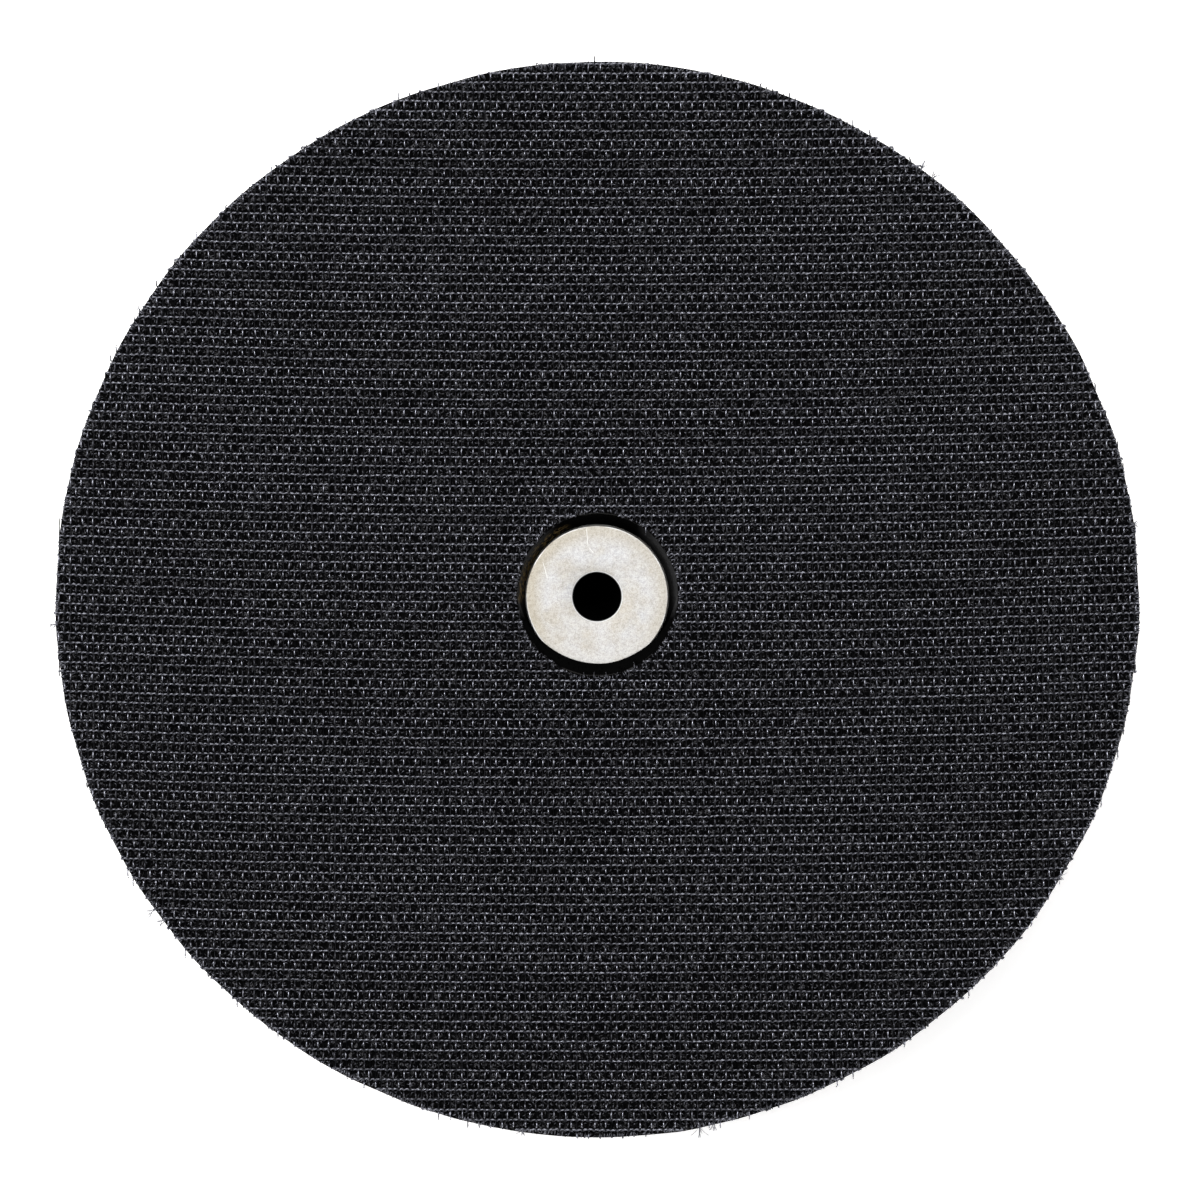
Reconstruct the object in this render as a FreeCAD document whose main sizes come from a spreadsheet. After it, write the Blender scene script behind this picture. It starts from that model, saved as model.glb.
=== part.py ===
"""Backing pad of a 150 mm orbital sander: hook face, foam cushion, riveted glass-fibre core and M8 hub.

Frame: millimetres. The pad's axis is Z. The origin is the centre of the hub's seat, the flat end that
butts against the machine's spindle. The pad lies on that seat with its hook face up, towards +Z.
"""
import FreeCAD, Part
import math
import os
import Sketcher

OUT_FOLDER = "parts"
NEAR = 1e-4  # millimetres, for telling edges apart by their radius and height

# Driving dimensions, one spreadsheet cell each, in millimetres unless the note says otherwise:
# alias, value, what it is.
DRIVING = [
    ("pad_diameter", 150.0, "hook face, outside"),
    ("face_hole_diameter", 22.4, "centre hole in the hook face"),
    ("fabric_thickness", 2.0, "woven ground and standing hooks together"),
    ("film_thickness", 0.15, "hot-melt film under the hook fabric"),
    ("foam_thickness", 9.0, "foam between the front plate and the film"),
    ("foam_rim_height", 4.0, "upright part of the foam's outer edge"),
    ("foam_base_diameter", 143.0, "foam at the back, where its edge stops tapering"),
    ("foam_hole_diameter", 20.7, "centre hole at the bottom of the foam"),
    ("foam_edge_radius", 0.8, "rounding of the foam's back edge"),
    ("front_plate_diameter", 138.0, "glass-fibre plate bedded in the foam"),
    ("front_plate_thickness", 1.6, "glass-fibre plate bedded in the foam"),
    ("rear_plate_diameter", 96.0, "glass-fibre stiffener on the back"),
    ("rear_plate_thickness", 1.6, "glass-fibre stiffener on the back"),
    ("plate_clearance", 0.1, "radial gap of both glass-fibre bores round the hub"),
    ("flange_diameter", 50.0, "steel plate under the hub's hexagon"),
    ("flange_thickness", 2.5, "steel plate under the hub's hexagon"),
    ("clamp_diameter", 46.0, "steel ring under the rivets' front heads"),
    ("clamp_thickness", 1.5, "steel ring under the rivets' front heads"),
    ("clamp_gap", 0.4, "foam's clearance round the ring and over the front heads"),
    ("steel_edge_chamfer", 0.4, "broken outer edges of the flange and the ring"),
    ("hex_across_flats", 22.0, "hub's spanner hexagon"),
    ("hex_height", 5.0, "hub's spanner hexagon"),
    ("hex_face_diameter", 21.6, "hub's seat, inside the turned chamfer of the hexagon's corners"),
    ("hex_chamfer_angle", 30.0, "degrees between the seat and that chamfer"),
    ("hub_body_diameter", 21.0, "hub inside the riveted stack, pressed into the steel plates"),
    ("hub_nose_diameter", 19.7, "hub in front of the stack"),
    ("nose_edge_radius", 0.4, "rounding of the nose's rim"),
    ("nose_recess", 2.6, "hub's nose below the hook tips"),
    ("thread_bore_diameter", 6.8, "M8 tapping size"),
    ("seat_countersink_diameter", 9.0, "lead-in of the thread at the seat"),
    ("nose_deburr", 0.2, "broken edge of the thread at the nose"),
    ("rivet_count", 8, "rivets through the stack"),
    ("rivet_circle_diameter", 36.0, "rivets' pitch circle"),
    ("rivet_shank_diameter", 4.0, "rivet"),
    ("rivet_head_diameter", 7.4, "rivet"),
    ("rivet_dome_height", 1.5, "domed head at the back"),
    ("rivet_dome_radius", 1.3, "rounding of the domed head"),
    ("rivet_set_height", 1.0, "flattened head at the front"),
    ("rivet_set_radius", 0.5, "rounding of the flattened head"),
]

# Heights above the seat, each an expression of the driving dimensions.
FLANGE_BASE = "Dims.hex_height"
REAR_PLATE_BASE = f"{FLANGE_BASE} + Dims.flange_thickness"
FRONT_PLATE_BASE = f"{REAR_PLATE_BASE} + Dims.rear_plate_thickness"
CLAMP_BASE = f"{FRONT_PLATE_BASE} + Dims.front_plate_thickness"
CLAMP_TOP = f"{CLAMP_BASE} + Dims.clamp_thickness"
FOAM_POCKET_TOP = f"{CLAMP_TOP} + Dims.rivet_set_height + Dims.clamp_gap"
FILM_BASE = f"{CLAMP_BASE} + Dims.foam_thickness"
FABRIC_BASE = f"{FILM_BASE} + Dims.film_thickness"
FACE = f"{FABRIC_BASE} + Dims.fabric_thickness"
NOSE_TOP = f"{FACE} - Dims.nose_recess"


def make_sheet(doc):
    """The spreadsheet of driving dimensions: a name, its number and a note on each row."""
    sheet = doc.addObject("Spreadsheet::Sheet", "Dims")
    for row, (alias, value, note) in enumerate(DRIVING, start=1):
        sheet.set(f"A{row}", alias)
        sheet.set(f"B{row}", str(value))
        sheet.setAlias(f"B{row}", alias)
        sheet.set(f"C{row}", note)
    doc.recompute()
    return sheet


class Pad:
    """Builds the pad's sub-parts as bodies of one document, all bound to its spreadsheet."""

    def __init__(self):
        self.doc = FreeCAD.newDocument("backing_pad")
        self.sheet = make_sheet(self.doc)
        self.bodies = []

    def value(self, expression):
        return float(self.sheet.evalExpression(expression))

    def body(self, label, base=None):
        """A body whose own level 0 is the pad's seat, or the height base if that is given."""
        body = self.doc.addObject("PartDesign::Body", label)
        body.Label = label
        if base is not None:
            body.setExpression("Placement.Base.z", base)
        self.bodies.append(body)
        return body

    @staticmethod
    def origin_feature(body, role):
        return next(f for f in body.Origin.OriginFeatures if f.Role == role)

    def sketch(self, body, name, plane, height=None):
        """A sketch on one of the body's own origin planes, raised by an expression if one is given."""
        sketch = body.newObject("Sketcher::SketchObject", name)
        sketch.AttachmentSupport = [(self.origin_feature(body, plane), "")]
        sketch.MapMode = "FlatFace"
        if height is not None:
            sketch.setExpression("AttachmentOffset.Base.z", height)
        return sketch

    def bind(self, sketch, kind, geometry, expression):
        """Adds a dimensional constraint and binds it to an expression."""
        index = sketch.addConstraint(Sketcher.Constraint(kind, *geometry, self.value(expression)))
        sketch.setExpression(f"Constraints[{index}]", expression)

    def circle(self, sketch, diameter, centre_x="0"):
        """A circle centred on the sketch's X axis."""
        centre = FreeCAD.Vector(self.value(centre_x), 0, 0)
        circle = Part.Circle(centre, FreeCAD.Vector(0, 0, 1), self.value(diameter) / 2)
        index = sketch.addGeometry(circle, False)
        if centre_x == "0":
            sketch.addConstraint(Sketcher.Constraint("Coincident", index, 3, -1, 1))
        else:
            sketch.addConstraint(Sketcher.Constraint("PointOnObject", index, 3, -1))
            self.bind(sketch, "DistanceX", (-1, 1, index, 3), centre_x)
        self.bind(sketch, "Diameter", (index,), diameter)

    def polygon(self, sketch, corners):
        """A closed outline through corners given as pairs of expressions, radius and height."""
        points = [FreeCAD.Vector(self.value(r), self.value(z), 0) for r, z in corners]
        count = len(points)
        for i in range(count):
            sketch.addGeometry(Part.LineSegment(points[i], points[(i + 1) % count]), False)
        for i in range(count):
            sketch.addConstraint(Sketcher.Constraint("Coincident", i, 2, (i + 1) % count, 1))
        for i, (radius, height) in enumerate(corners):
            self.bind(sketch, "DistanceX", (-1, 1, i, 1), radius)
            self.bind(sketch, "DistanceY", (-1, 1, i, 1), height)

    def revolve(self, body, name, corners, kind="PartDesign::Revolution"):
        """A full turn about Z of an outline in the XZ plane. kind PartDesign::Groove cuts instead."""
        sketch = self.sketch(body, f"{name}_outline", "XZ_Plane")
        self.polygon(sketch, corners)
        turned = body.newObject(kind, name)
        turned.Profile = sketch
        turned.ReferenceAxis = (self.origin_feature(body, "Z_Axis"), [""])
        turned.Angle = 360.0
        return turned

    def pad(self, body, name, diameters, thickness, base=None):
        """A disc or ring extruded upwards from the body's level 0, or from the height base."""
        sketch = self.sketch(body, f"{name}_outline", "XY_Plane", base)
        for diameter in diameters:
            self.circle(sketch, diameter)
        pad = body.newObject("PartDesign::Pad", name)
        pad.Profile = sketch
        pad.setExpression("Length", thickness)
        return pad

    def rivet_holes(self, body, thickness):
        """Drills the rivet circle through a plate that stands on its body's level 0."""
        self.doc.recompute()
        before = body.Shape.Volume
        sketch = self.sketch(body, "rivet_hole_outline", "XY_Plane")
        self.circle(sketch, "Dims.rivet_shank_diameter", "Dims.rivet_circle_diameter / 2")
        pocket = body.newObject("PartDesign::Pocket", "rivet_hole")
        pocket.Profile = sketch
        pocket.Reversed = True
        pocket.setExpression("Length", thickness)
        self.pattern(body, pocket, "rivet_hole_circle")
        self.doc.recompute()
        hole_area = math.pi * self.value("Dims.rivet_shank_diameter") ** 2 / 4
        drilled = self.value("Dims.rivet_count") * hole_area * self.value(thickness)
        if abs(before - body.Shape.Volume - drilled) > 0.01 * drilled:
            raise RuntimeError(f"{body.Label}: the rivet holes are not cut through")

    def pattern(self, body, feature, name):
        """Repeats a feature round the rivet circle."""
        pattern = body.newObject("PartDesign::PolarPattern", name)
        pattern.Originals = [feature]
        pattern.Axis = (self.origin_feature(body, "Z_Axis"), [""])
        pattern.Angle = 360.0
        pattern.setExpression("Occurrences", "Dims.rivet_count")
        body.Tip = pattern

    def dress(self, body, kind, name, pick, size):
        """A chamfer or fillet on the edges of the body that pick chooses."""
        self.doc.recompute()
        base = body.Tip
        edges = [f"Edge{i}" for i, e in enumerate(base.Shape.Edges, start=1) if pick(e)]
        if not edges:
            raise RuntimeError(f"{body.Label}: no edge to {name}")
        dressed = body.newObject(f"PartDesign::{kind}", name)
        dressed.Base = (base, edges)
        dressed.setExpression("Size" if kind == "Chamfer" else "Radius", size)
        body.Tip = dressed

    def round_edges(self, diameter, height):
        """Picks the circular edges of a diameter at a height above the body's level 0."""
        radius = self.value(diameter) / 2
        level = self.value(height)

        def pick(edge):
            curve = edge.Curve
            if not isinstance(curve, Part.Circle):
                return False
            return abs(curve.Radius - radius) < NEAR and abs(curve.Center.z - level) < NEAR

        return pick

    # Soft parts

    def hook_fabric(self):
        """Die-cut disc of woven hook fabric: a plain ring as thick as the ground and the hooks."""
        body = self.body("hook_fabric", FABRIC_BASE)
        rings = ("Dims.pad_diameter", "Dims.face_hole_diameter")
        self.pad(body, "fabric_disc", rings, "Dims.fabric_thickness")

    def bonding_film(self):
        """Hot-melt film that joins the fabric to the foam."""
        body = self.body("bonding_film", FILM_BASE)
        rings = ("Dims.pad_diameter", "Dims.face_hole_diameter")
        self.pad(body, "film_disc", rings, "Dims.film_thickness")

    def foam_cushion(self):
        """Moulded foam with a tapered edge, a bed for the front plate and a pocket for the ring."""
        body = self.body("foam_cushion")
        pocket_radius = "Dims.clamp_diameter / 2 + Dims.clamp_gap"
        plate_radius = "Dims.front_plate_diameter / 2"
        self.revolve(body, "foam_ring", [
            (pocket_radius, CLAMP_BASE),
            (pocket_radius, FOAM_POCKET_TOP),
            ("Dims.foam_hole_diameter / 2", FOAM_POCKET_TOP),
            ("Dims.face_hole_diameter / 2", FILM_BASE),
            ("Dims.pad_diameter / 2", FILM_BASE),
            ("Dims.pad_diameter / 2", f"{FILM_BASE} - Dims.foam_rim_height"),
            ("Dims.foam_base_diameter / 2", FRONT_PLATE_BASE),
            (plate_radius, FRONT_PLATE_BASE),
            (plate_radius, CLAMP_BASE),
        ])
        back_edge = self.round_edges("Dims.foam_base_diameter", FRONT_PLATE_BASE)
        self.dress(body, "Fillet", "back_edge", back_edge, "Dims.foam_edge_radius")

    # Riveted core

    def core_plate(self, label, diameter, bore, base, thickness):
        """A flat ring of the riveted stack, with its rivet holes."""
        body = self.body(label, base)
        self.pad(body, f"{label}_disc", (diameter, bore), thickness)
        self.rivet_holes(body, thickness)
        return body

    def core_plates(self):
        """From the back: steel flange, glass-fibre stiffener, glass-fibre plate, steel ring."""
        press_bore = "Dims.hub_body_diameter"
        loose_bore = "Dims.hub_body_diameter + 2 * Dims.plate_clearance"
        flange = self.core_plate("flange_plate", "Dims.flange_diameter", press_bore,
                                 FLANGE_BASE, "Dims.flange_thickness")
        self.core_plate("rear_plate", "Dims.rear_plate_diameter", loose_bore,
                        REAR_PLATE_BASE, "Dims.rear_plate_thickness")
        self.core_plate("front_plate", "Dims.front_plate_diameter", loose_bore,
                        FRONT_PLATE_BASE, "Dims.front_plate_thickness")
        ring = self.core_plate("clamp_ring", "Dims.clamp_diameter", press_bore,
                               CLAMP_BASE, "Dims.clamp_thickness")
        flange_edge = self.round_edges("Dims.flange_diameter", "0")
        self.dress(flange, "Chamfer", "broken_edge", flange_edge, "Dims.steel_edge_chamfer")
        ring_edge = self.round_edges("Dims.clamp_diameter", "Dims.clamp_thickness")
        self.dress(ring, "Chamfer", "broken_edge", ring_edge, "Dims.steel_edge_chamfer")

    def rivets(self):
        """Solid rivets: a domed head at the back and a flattened head at the front, one solid each."""
        body = self.body("rivets")
        body.AllowCompound = True
        sketch = self.sketch(body, "rivet_outline", "XZ_Plane")
        centre = "Dims.rivet_circle_diameter / 2"
        shank = f"{centre} + Dims.rivet_shank_diameter / 2"
        head = f"{centre} + Dims.rivet_head_diameter / 2"
        dome_top = f"{FLANGE_BASE} - Dims.rivet_dome_height"
        set_top = f"{CLAMP_TOP} + Dims.rivet_set_height"
        self.polygon(sketch, [
            (centre, dome_top),
            (head, dome_top),
            (head, FLANGE_BASE),
            (shank, FLANGE_BASE),
            (shank, CLAMP_TOP),
            (head, CLAMP_TOP),
            (head, set_top),
            (centre, set_top),
        ])
        rivet = body.newObject("PartDesign::Revolution", "rivet")
        rivet.Profile = sketch
        centre_line = len(sketch.Geometry)
        rivet.ReferenceAxis = (sketch, [f"Edge{centre_line}"])
        rivet.Angle = 360.0
        self.pattern(body, rivet, "rivet_circle")
        dome_rims = self.round_edges("Dims.rivet_head_diameter", dome_top)
        self.dress(body, "Fillet", "domes", dome_rims, "Dims.rivet_dome_radius")
        set_rims = self.round_edges("Dims.rivet_head_diameter", set_top)
        self.dress(body, "Fillet", "set_heads", set_rims, "Dims.rivet_set_radius")

    # Hub

    def hexagon(self, sketch, across_flats):
        """A regular hexagon about the origin, held by a construction circle through its corners."""
        across_corners = f"{across_flats} / cos(30 deg)"
        radius = self.value(across_corners) / 2
        corners = [
            FreeCAD.Vector(radius * math.cos(k * math.pi / 3), radius * math.sin(k * math.pi / 3), 0)
            for k in range(6)
        ]
        for k in range(6):
            sketch.addGeometry(Part.LineSegment(corners[k], corners[(k + 1) % 6]), False)
        through = Part.Circle(FreeCAD.Vector(0, 0, 0), FreeCAD.Vector(0, 0, 1), radius)
        circle = sketch.addGeometry(through, True)
        sketch.addConstraint(Sketcher.Constraint("Coincident", circle, 3, -1, 1))
        self.bind(sketch, "Diameter", (circle,), across_corners)
        for k in range(6):
            sketch.addConstraint(Sketcher.Constraint("Coincident", k, 2, (k + 1) % 6, 1))
            sketch.addConstraint(Sketcher.Constraint("PointOnObject", k, 1, circle))
        for k in range(1, 6):
            sketch.addConstraint(Sketcher.Constraint("Equal", 0, k))
        sketch.addConstraint(Sketcher.Constraint("PointOnObject", 0, 1, -1))

    def hub(self):
        """Hub turned from hexagon bar: spanner hexagon, pressed body, nose and M8 through thread."""
        body = self.body("hub")
        sketch = self.sketch(body, "hex_outline", "XY_Plane")
        self.hexagon(sketch, "Dims.hex_across_flats")
        hexagon = body.newObject("PartDesign::Pad", "spanner_hex")
        hexagon.Profile = sketch
        hexagon.setExpression("Length", "Dims.hex_height")
        body_length = f"{CLAMP_TOP} - ({FLANGE_BASE})"
        nose_length = f"{NOSE_TOP} - ({CLAMP_TOP})"
        self.pad(body, "pressed_body", ("Dims.hub_body_diameter",), body_length, FLANGE_BASE)
        self.pad(body, "nose", ("Dims.hub_nose_diameter",), nose_length, CLAMP_TOP)

        face = "Dims.hex_face_diameter / 2"
        clear_of_corners = "Dims.hex_across_flats"
        self.revolve(body, "corner_chamfer", [
            (face, "0"),
            (clear_of_corners, "0"),
            (clear_of_corners, f"({clear_of_corners} - {face}) * tan(Dims.hex_chamfer_angle * 1 deg)"),
        ], kind="PartDesign::Groove")

        bore = "Dims.thread_bore_diameter / 2"
        lead_in = "Dims.seat_countersink_diameter / 2"
        self.revolve(body, "thread_bore", [
            ("0", "0"),
            (lead_in, "0"),
            (bore, f"{lead_in} - {bore}"),
            (bore, f"{NOSE_TOP} - Dims.nose_deburr"),
            (f"{bore} + Dims.nose_deburr", NOSE_TOP),
            ("0", NOSE_TOP),
        ], kind="PartDesign::Groove")
        nose_rim = self.round_edges("Dims.hub_nose_diameter", NOSE_TOP)
        self.dress(body, "Fillet", "nose_rim", nose_rim, "Dims.nose_edge_radius")

    def build(self):
        """Makes every sub-part, then stops if any object of the document has failed."""
        self.hook_fabric()
        self.bonding_film()
        self.foam_cushion()
        self.core_plates()
        self.rivets()
        self.hub()
        self.doc.recompute()
        for thing in self.doc.Objects:
            if {"Invalid", "Error"} & set(thing.State):
                raise RuntimeError(f"{thing.Name} failed: {thing.State}")
        for body in self.bodies:
            if body.Shape.isNull() or not body.Shape.isValid() or not body.Shape.Solids:
                raise RuntimeError(f"{body.Label} has no valid shape")

    def export(self):
        """Writes one STEP file per sub-part and prints its solids, volume, heights and width."""
        os.makedirs(OUT_FOLDER, exist_ok=True)
        for body in self.bodies:
            body.Shape.exportStep(os.path.join(OUT_FOLDER, f"{body.Label}.step"))
            box = body.Shape.optimalBoundingBox(False, False)
            print(f"{body.Label}: {len(body.Shape.Solids)} solid(s), {body.Shape.Volume:.1f} mm3, "
                  f"z {box.ZMin:.2f} to {box.ZMax:.2f}, width {box.XLength:.2f}")


pad = Pad()
pad.build()
pad.export()
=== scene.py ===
"""Looks of an orbital sander's 150 mm backing pad, seen square on to its woven hook face.

Every shape is worked out in millimetres in the CAD model's frame and becomes metres in new_piece().
+Z is the pad's axis, out of the hook face. The fabric's weft rows run along X and its warp along Y.
"""
import math

import bmesh
import bpy
import numpy as np
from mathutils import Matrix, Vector


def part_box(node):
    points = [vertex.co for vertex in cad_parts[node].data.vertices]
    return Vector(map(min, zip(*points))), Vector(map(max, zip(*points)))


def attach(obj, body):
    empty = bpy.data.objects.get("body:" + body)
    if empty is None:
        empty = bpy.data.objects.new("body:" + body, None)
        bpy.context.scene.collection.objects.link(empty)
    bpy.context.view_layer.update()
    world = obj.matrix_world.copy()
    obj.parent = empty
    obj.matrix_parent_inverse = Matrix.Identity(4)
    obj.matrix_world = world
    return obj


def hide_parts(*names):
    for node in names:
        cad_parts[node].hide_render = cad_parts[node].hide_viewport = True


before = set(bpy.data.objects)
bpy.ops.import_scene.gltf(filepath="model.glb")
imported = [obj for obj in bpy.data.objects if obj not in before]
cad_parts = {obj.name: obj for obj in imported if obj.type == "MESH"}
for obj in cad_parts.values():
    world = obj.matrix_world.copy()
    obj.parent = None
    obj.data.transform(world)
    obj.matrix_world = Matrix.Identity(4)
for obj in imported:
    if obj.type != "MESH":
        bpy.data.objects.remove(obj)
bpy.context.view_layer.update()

MM = 0.001
TURN = 2 * math.pi


# ---------------------------------------------------------------- places from the frame, in mm

def low(node):
    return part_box(node)[0].z / MM


def high(node):
    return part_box(node)[1].z / MM


def radii(node, bottom=-1e9, top=1e9):
    """The least and the greatest distance from the axis of a node's points between two heights."""
    points = np.array([v.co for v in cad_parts[node].data.vertices]) / MM
    points = points[(points[:, 2] > bottom) & (points[:, 2] < top)]
    distance = np.hypot(points[:, 0], points[:, 1])
    return distance.min(), distance.max()


SEAT = low("hub")
FLANGE_BASE = low("flange_plate")
FRONT_PLATE_BASE = low("front_plate")
CLAMP_BASE = low("clamp_ring")
CLAMP_TOP = high("clamp_ring")
FOAM_TOP = high("foam_cushion")
FABRIC_BASE = low("hook_fabric")
FACE = high("hook_fabric")
NOSE_TOP = high("hub")
NOSE_RADIUS = radii("hub", NOSE_TOP - 1.0, NOSE_TOP - 0.3)[1]
FACE_HOLE, PAD_RADIUS = radii("hook_fabric")

# The soft disc is glued on a little off the hub's axis, and its hole is punched off its middle.
DISC_CENTRE = np.array([0.05, -0.42])
HOLE_CENTRE = np.array([0.07, 0.30])


# ---------------------------------------------------------------- meshes

def new_piece(name, points, quads, materials, slots=None, weld=False, smooth=True):
    """A mesh object from points in mm and four-cornered faces."""
    mesh = bpy.data.meshes.new(name)
    mesh.vertices.add(len(points))
    mesh.vertices.foreach_set("co", (np.asarray(points) * MM).astype(np.float32).ravel())
    mesh.loops.add(4 * len(quads))
    mesh.loops.foreach_set("vertex_index", np.asarray(quads, np.int32).ravel())
    mesh.polygons.add(len(quads))
    mesh.polygons.foreach_set("loop_start", np.arange(0, 4 * len(quads), 4, dtype=np.int32))
    for material in materials:
        mesh.materials.append(material)
    if slots is not None:
        mesh.polygons.foreach_set("material_index", np.asarray(slots, np.int32))
    mesh.polygons.foreach_set("use_smooth", np.full(len(quads), smooth))
    mesh.update(calc_edges=True)
    if weld:
        work = bmesh.new()
        work.from_mesh(mesh)
        bmesh.ops.remove_doubles(work, verts=work.verts, dist=1e-7)
        bmesh.ops.recalc_face_normals(work, faces=work.faces)
        work.to_mesh(mesh)
        work.free()
    piece = bpy.data.objects.new(name, mesh)
    bpy.context.scene.collection.objects.link(piece)
    return piece


def stand_for(piece, node, slot):
    """Puts a piece on the pad's one body, in place of a CAD node."""
    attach(piece, "root")
    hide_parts(node)


class Strands:
    """Gathers tubes into one mesh. Each has a square or hexagonal section, so every face has four corners."""

    def __init__(self):
        self.points, self.quads, self.slots, self.count = [], [], [], 0

    def add(self, paths, radius, sides, normal, slot, squash=1.0):
        """Tubes of one shape: paths is (tubes, points, 3), and normal never runs along a path.
        squash is the section's height along the normal against its width."""
        tubes, length, _ = paths.shape
        along = np.gradient(paths, axis=1)
        along /= np.linalg.norm(along, axis=2, keepdims=True)
        normal = np.broadcast_to(np.asarray(normal, float).reshape(-1, 1, 3), paths.shape)
        across = np.cross(along, normal)
        across /= np.linalg.norm(across, axis=2, keepdims=True)
        other = np.cross(across, along)
        turn = angles(sides)[:, None]
        radius = np.broadcast_to(np.asarray(radius, float).reshape(-1, 1, 1, 1), (tubes, 1, 1, 1))
        ring = across[:, :, None] * np.cos(turn) + other[:, :, None] * (squash * np.sin(turn))
        points = paths[:, :, None] + ring * radius
        index = np.arange(tubes * length * sides).reshape(tubes, length, sides)
        index += self.count
        after = np.roll(index, -1, axis=2)
        walls = np.stack([index[:, :-1], index[:, 1:], after[:, 1:], after[:, :-1]], axis=-1)
        caps = [index[:, 0, [0, 1, 2, 3]], index[:, -1, [3, 2, 1, 0]]]
        if sides == 6:
            caps += [index[:, 0, [0, 3, 4, 5]], index[:, -1, [5, 4, 3, 0]]]
        faces = [walls.reshape(tubes, -1, 4)] + [cap.reshape(tubes, 1, 4) for cap in caps]
        faces = np.concatenate(faces, axis=1)
        slot = np.broadcast_to(np.asarray(slot).reshape(-1, 1), (tubes, faces.shape[1]))
        self.points.append(points.reshape(-1, 3))
        self.quads.append(faces.reshape(-1, 4))
        self.slots.append(slot.reshape(-1))
        self.count += index.size

    def triangles(self):
        return 2 * sum(len(q) for q in self.quads)

    def piece(self, name, materials):
        return new_piece(name, np.concatenate(self.points), np.concatenate(self.quads), materials,
                         np.concatenate(self.slots))


def outline(corners, step=1e9, arc_steps=5):
    """Closed outline through corners (radius, height, rounding), with straight runs cut to the step."""
    corners = np.array(corners, float)
    count = len(corners)
    points = []
    for i in range(count):
        here, before, after = corners[i, :2], corners[i - 1, :2], corners[(i + 1) % count, :2]
        rounding = corners[i, 2]
        if rounding == 0:
            points.append(here)
            continue
        back = (before - here) / np.linalg.norm(before - here)
        forward = (after - here) / np.linalg.norm(after - here)
        half = math.acos(np.clip(back @ forward, -1, 1)) / 2
        start = here + back * rounding / math.tan(half)
        end = here + forward * rounding / math.tan(half)
        bisector = (back + forward) / np.linalg.norm(back + forward)
        centre = here + bisector * rounding / math.sin(half)
        for t in np.linspace(0, 1, arc_steps + 1):
            spoke = (1 - t) * (start - centre) + t * (end - centre)
            points.append(centre + spoke * rounding / np.linalg.norm(spoke))
    dense = []
    for a, b in zip(points, points[1:] + points[:1]):
        pieces = max(1, math.ceil(np.linalg.norm(b - a) / step))
        dense += [a + (b - a) * k / pieces for k in range(pieces)]
    return np.array(dense)


def angles(segments):
    return np.arange(segments) * TURN / segments


def plain_rings(profile, segments):
    """A profile of (radius, height) points as rings that are the same all round."""
    return np.repeat(np.asarray(profile, float)[:, None], segments, axis=1)


def turned(rings, shift=(0, 0), closed=True):
    """Points and faces of a turned shape. rings is (rings, segments, 2), each a radius and a height. The
    faces look outwards when the rings go up the inside and come down the outside."""
    count, segments, _ = rings.shape
    theta = angles(segments)
    shift = np.broadcast_to(np.asarray(shift, float), (count, 2))[:, None]
    points = np.stack([
        rings[..., 0] * np.cos(theta) + shift[..., 0],
        rings[..., 0] * np.sin(theta) + shift[..., 1],
        rings[..., 1],
    ], axis=-1).reshape(-1, 3)
    index = np.arange(count * segments).reshape(count, segments)
    if closed:
        index = np.vstack([index, index[:1]])
    after = np.roll(index, -1, axis=1)
    quads = np.stack([index[:-1], index[1:], after[1:], after[:-1]], axis=-1).reshape(-1, 4)
    return points, quads


def waves(theta, seed, amplitude, lowest, highest):
    """A smooth random ripple round a circle, made of a few waves."""
    draw = np.random.default_rng(seed)
    total = np.zeros_like(theta)
    for n in range(lowest, highest + 1):
        total += draw.normal() * np.cos(n * theta + draw.uniform(0, TURN))
    return amplitude * total / math.sqrt(highest - lowest + 1)


# ---------------------------------------------------------------- materials

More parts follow.
